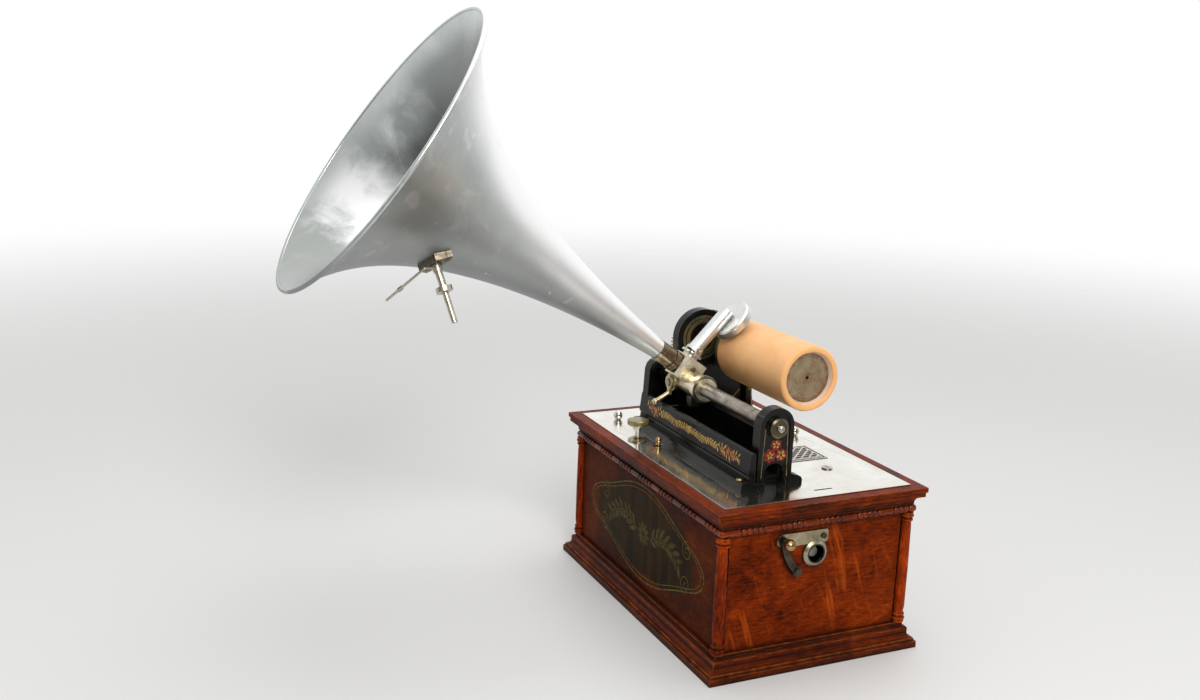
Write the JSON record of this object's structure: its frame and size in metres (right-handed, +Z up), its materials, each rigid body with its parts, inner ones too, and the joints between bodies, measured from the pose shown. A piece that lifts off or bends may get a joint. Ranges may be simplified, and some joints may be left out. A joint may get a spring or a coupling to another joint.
{
  "type": "cylinder gramophone",
  "caption": "Antique spring-driven cylinder gramophone: stained oak case with turned columns, nickel bedplate, black cast bed, wax cylinder on a mandrel and a flaring aluminium horn.",
  "frame": {"origin": "centre of the case's underside, on the surface it stands on", "axes": "+Z up, -Y towards the front panel and the horn's mouth, +X towards the winding end"},
  "size_m": [0.3348, 0.4665, 0.4931],
  "materials": {
    "oak": "stained quarter-sawn oak, worn shellac",
    "pine": "bare board",
    "nickel": "worn polished nickel",
    "bedplate_nickel": "polished nickel",
    "black_enamel": "gloss black enamel with gilt lines",
    "brass": "aged brass",
    "etched_plate": "blank etched plate",
    "steel": "aged steel",
    "aluminium": "spun, satin",
    "bronze": "dull bronze",
    "wax": "brown wax",
    "leather": "worn leather"
  },
  "bodies": {
    "case": {"bottom_board": "pine", "front_panel": "oak", "back_panel": "oak", "left_panel": "oak", "right_panel": "oak", "base_moulding": "oak", "cornice_moulding": "oak", "bead_moulding": "oak", "corner_columns": "oak", "key_bushing": "nickel", "catch_plate": "nickel", "catch_screws": "steel", "bedplate": "bedplate_nickel", "bedplate_knobs": "nickel", "bedplate_screws": "nickel", "data_plate": "etched_plate", "bed_casting": "black_enamel", "bed_screws": "brass", "guide_tube": "steel", "tube_nut": "brass", "tube_pivot": "steel", "idler_stud": "steel", "speed_bush": "nickel", "stop_pivot": "steel", "motor_plates": "steel", "motor_pillars": "brass", "drive_belt": "leather"},
    "crank_catch": {"crank_catch": "black_enamel", "catch_knob": "brass"},
    "mandrel": {"mandrel": "steel", "mandrel_shaft": "steel", "mandrel_gear": "brass", "mandrel_pulley": "black_enamel"},
    "record": {"record": "wax"},
    "idler": {"idler_gear": "brass"},
    "feed": {"feed_screw": "steel", "feed_gear": "brass"},
    "carriage": {"carriage": "nickel", "carriage_screw": "steel", "lever_screw": "nickel", "reproducer_collar": "nickel"},
    "lift_lever": {"lift_lever": "brass"},
    "half_nut": {"half_nut": "steel"},
    "reproducer": {"reproducer_body": "aluminium", "diaphragm": "steel", "stylus_lever": "brass"},
    "ferrule": {"horn_ferrule": "bronze"},
    "horn": {"horn": "aluminium", "horn_saddle": "black_enamel", "horn_pin": "nickel", "horn_strut": "nickel"},
    "speed": {"speed_screw": "brass"},
    "stop": {"stop_lever": "brass"},
    "winding": {"winding_arbor": "steel"},
    "barrel": {"spring_barrel": "brass", "mainspring": "steel"},
    "second": {"second_wheel": "brass"},
    "drive": {"drive_wheel": "brass"},
    "governor": {"governor": "steel", "governor_weights": "brass"}
  },
  "joints": [
    {"name": "mandrel_spin", "type": "hinge", "parent": "case", "child": "mandrel", "pos_m": [-0.09, 0.0368, 0.207], "axis": [1, 0, 0], "continuous": true},
    {"name": "record_slide", "type": "slide", "parent": "mandrel", "child": "record", "axis": [1, 0, 0], "range_m": [0, 0.115]},
    {"name": "idler_spin", "type": "hinge", "parent": "case", "child": "idler", "pos_m": [-0.0925, 0.0028, 0.2075], "axis": [1, 0, 0], "continuous": true},
    {"name": "feed_spin", "type": "hinge", "parent": "case", "child": "feed", "pos_m": [0, -0.0226, 0.1849], "axis": [1, 0, 0], "continuous": true},
    {"name": "carriage_slide", "type": "slide", "parent": "case", "child": "carriage", "axis": [1, 0, 0], "range_m": [-0.008, 0.095]},
    {"name": "lift_lever", "type": "hinge", "parent": "carriage", "child": "lift_lever", "pos_m": [-0.054, -0.0356, 0.1834], "axis": [0, -1, 0], "range_deg": [0, 50]},
    {"name": "half_nut_drop", "type": "slide", "parent": "carriage", "child": "half_nut", "axis": [0, 0, -1], "range_m": [0, 0.002]},
    {"name": "reproducer_lift", "type": "hinge", "parent": "carriage", "child": "reproducer", "pos_m": [-0.044, -0.019, 0.21421], "axis": [1, 0, 0], "range_deg": [0, 8]},
    {"name": "horn_turn", "type": "hinge", "parent": "carriage", "child": "ferrule", "pos_m": [-0.044, -0.03698, 0.20353], "axis": [-0.0427, -0.815, 0.5779], "range_deg": [-30, 30]},
    {"name": "horn_draw", "type": "slide", "parent": "ferrule", "child": "horn", "axis": [-0.0427, -0.815, 0.5779], "range_m": [0, 0.03]},
    {"name": "speed_turn", "type": "hinge", "parent": "case", "child": "speed", "pos_m": [-0.0413, -0.0724, 0.15], "axis": [0, 0, 1], "range_deg": [-170, 170]},
    {"name": "stop_swing", "type": "hinge", "parent": "case", "child": "stop", "pos_m": [-0.0682, -0.058, 0.13], "axis": [0, 0, 1], "range_deg": [-4, 4]},
    {"name": "crank_catch_swing", "type": "hinge", "parent": "case", "child": "crank_catch", "pos_m": [0.134, -0.019, 0.0795], "axis": [1, 0, 0], "range_deg": [-25, 0]},
    {"name": "winding_turn", "type": "hinge", "parent": "case", "child": "winding", "pos_m": [0.1, -0.002, 0.0915], "axis": [1, 0, 0], "continuous": true},
    {"name": "barrel_spin", "type": "hinge", "parent": "case", "child": "barrel", "pos_m": [0.01, -0.002, 0.0915], "axis": [1, 0, 0], "continuous": true},
    {"name": "second_spin", "type": "hinge", "parent": "case", "child": "second", "pos_m": [0, 0.0023, 0.04972], "axis": [1, 0, 0], "continuous": true},
    {"name": "drive_spin", "type": "hinge", "parent": "case", "child": "drive", "pos_m": [-0.05, 0.0368, 0.06], "axis": [1, 0, 0], "continuous": true},
    {"name": "governor_spin", "type": "hinge", "parent": "case", "child": "governor", "pos_m": [-0.05, 0.04409, 0.10136], "axis": [1, 0, 0], "continuous": true}
  ],
  "couplings": [
    {"joint": "idler_spin", "follows": "mandrel_spin", "ratio": -0.88889},
    {"joint": "feed_spin", "follows": "mandrel_spin", "ratio": 1},
    {"joint": "drive_spin", "follows": "mandrel_spin", "ratio": 2},
    {"joint": "second_spin", "follows": "mandrel_spin", "ratio": -0.4},
    {"joint": "barrel_spin", "follows": "mandrel_spin", "ratio": 0.066667},
    {"joint": "governor_spin", "follows": "mandrel_spin", "ratio": -5},
    {"joint": "half_nut_drop", "follows": "lift_lever", "m_per_rad": 0.0022918},
    {"joint": "reproducer_lift", "follows": "lift_lever", "ratio": 0.16}
  ]
}
